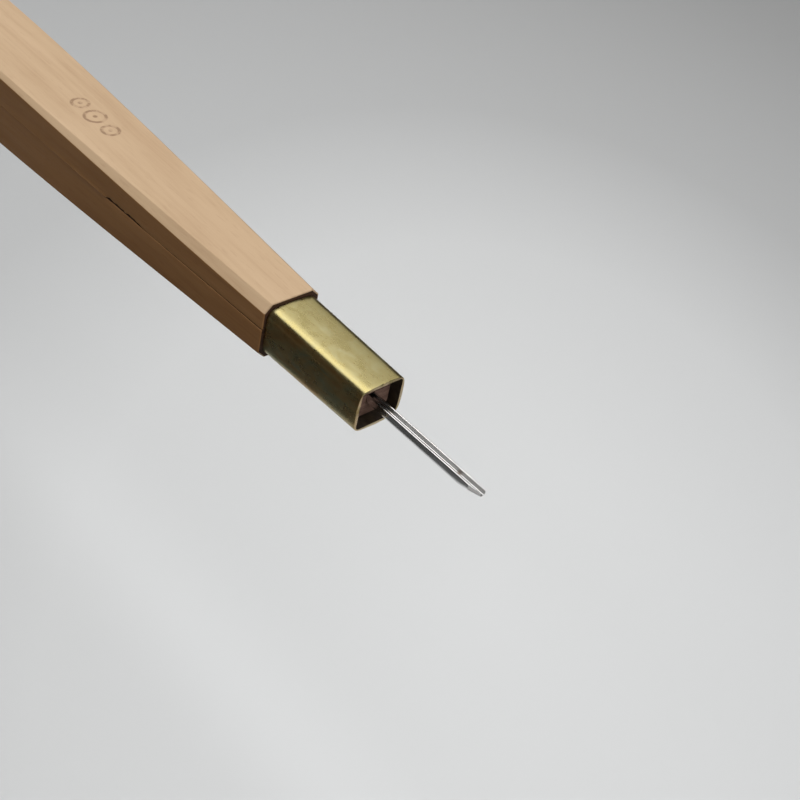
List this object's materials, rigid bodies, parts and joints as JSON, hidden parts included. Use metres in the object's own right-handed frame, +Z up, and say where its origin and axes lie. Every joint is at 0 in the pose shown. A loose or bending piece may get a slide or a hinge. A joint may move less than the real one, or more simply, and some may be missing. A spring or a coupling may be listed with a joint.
{
  "type": "split-handle gouge",
  "caption": "Slender U-shaped gouge blade clamped between two halves of a chamfered wooden handle by a tapered brass ferrule that slides off the front.",
  "frame": {"origin": "centre of the flat butt face, on the tool's long axis", "axes": "+X along the tool from the butt to the cutting edge, +Z up through the open side of the blade's channel, +Y to the left"},
  "size_m": [0.1801, 0.0172, 0.0163],
  "materials": {
    "handle_wood": "planed bare hardwood",
    "ferrule_brass": "aged brass with patina",
    "blade_steel": "ground and polished"
  },
  "bodies": {
    "handle": {"handle_lower_half": "handle_wood"},
    "upper_half": {"handle_upper_half": "handle_wood"},
    "ferrule": {"ferrule": "ferrule_brass"},
    "blade": {"blade": "blade_steel"}
  },
  "joints": [
    {"name": "ferrule_slide", "type": "slide", "parent": "handle", "child": "ferrule", "axis": [1, 0, 0], "range_m": [0, 0.047]},
    {"name": "handle_opening", "type": "hinge", "parent": "handle", "child": "upper_half", "pos_m": [0, 0, 0.00179], "axis": [0, -1, 0], "range_deg": [0, 0.27]},
    {"name": "blade_slide", "type": "slide", "parent": "handle", "child": "blade", "axis": [1, 0, 0], "range_m": [0, 0.06]}
  ],
  "couplings": [
    {"joint": "handle_opening", "follows": "ferrule_slide", "rad_per_m": 0.1}
  ]
}
